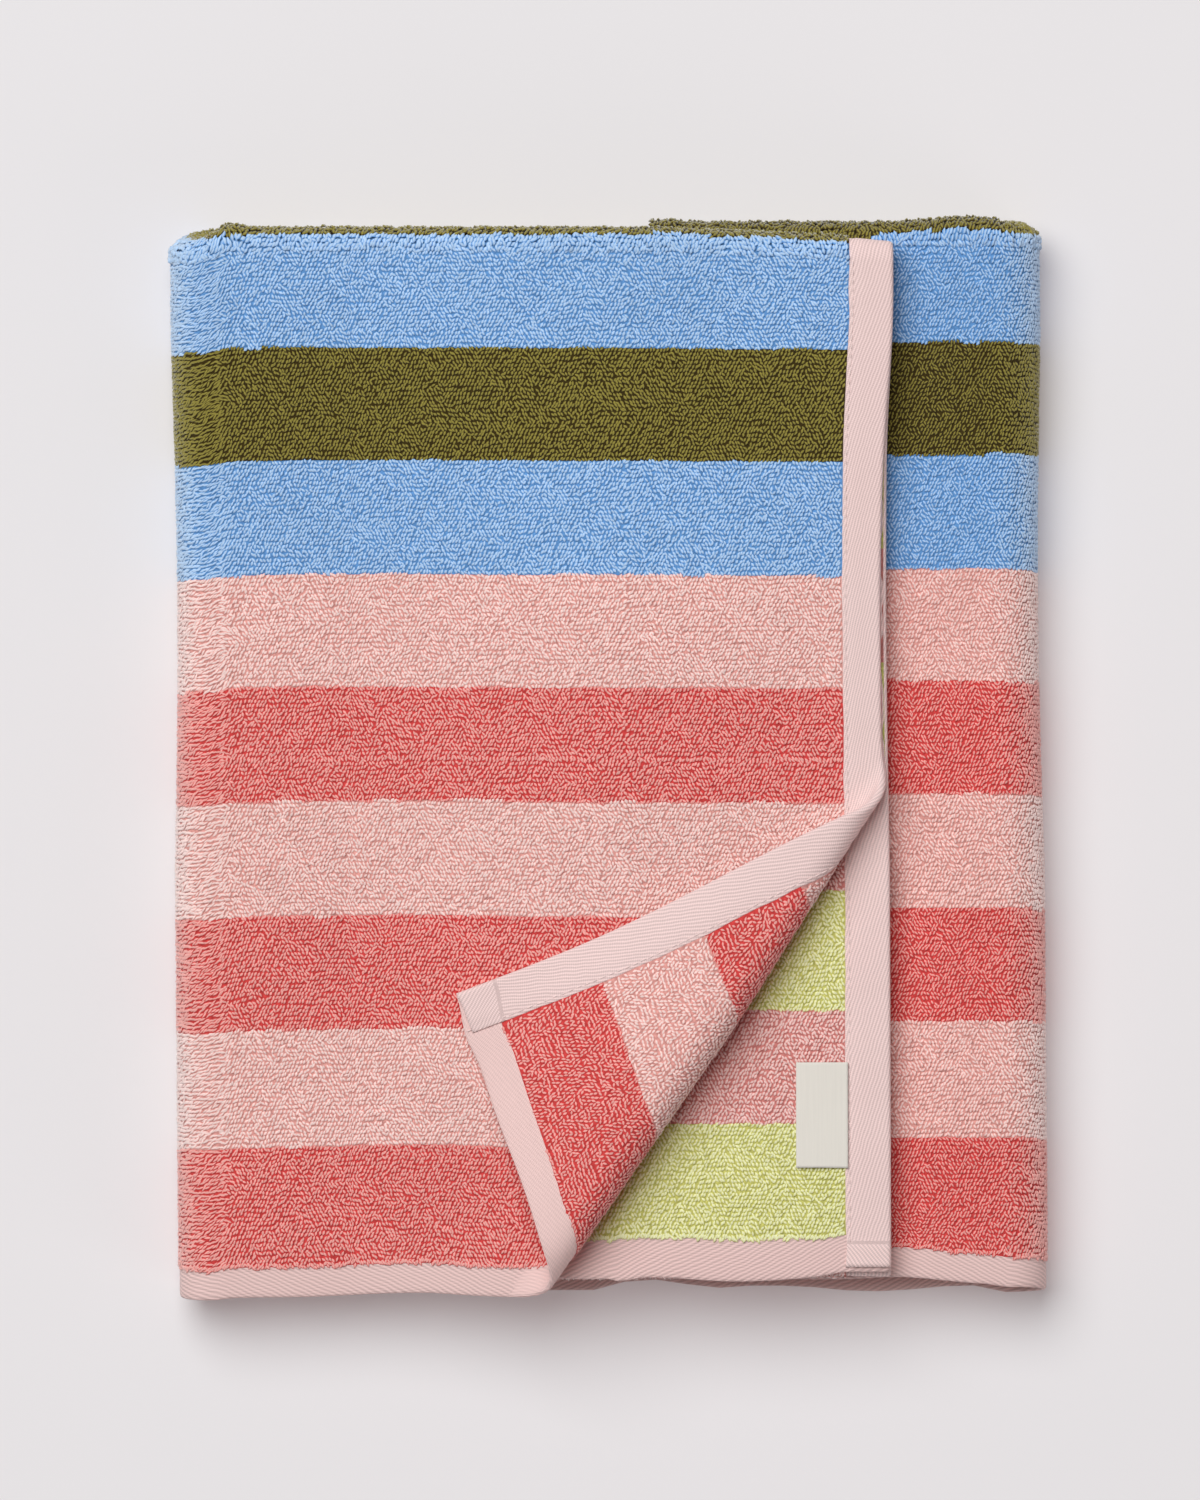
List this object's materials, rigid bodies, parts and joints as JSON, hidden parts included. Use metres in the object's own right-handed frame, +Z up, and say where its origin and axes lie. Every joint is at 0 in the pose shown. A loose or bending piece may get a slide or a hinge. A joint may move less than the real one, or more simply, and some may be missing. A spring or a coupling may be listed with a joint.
{
  "type": "folded bath towel",
  "caption": "Striped terry bath towel folded to a rectangle in thirds, with bound long edges, flat woven hems and one corner turned back to show its reverse and a blank label tab.",
  "frame": {"origin": "middle of the folded towel's footprint, on the surface it lies on", "axes": "+Z up, +Y towards the folded top edge, +X towards the side where the under third shows"},
  "size_m": [0.2866, 0.3498, 0.0565],
  "materials": {
    "terry": "looped cotton terry in yarn-dyed cross stripes of red, pale pink, blue and olive, lime and pink at the other end",
    "binding_tape": "pale pink cotton twill tape",
    "label": "plain woven cream tab, blank"
  },
  "bodies": {
    "root": {"terry_cloth": "terry", "outer_binding": "binding_tape", "inner_binding": "binding_tape", "label_tab": "label"}
  },
  "joints": []
}
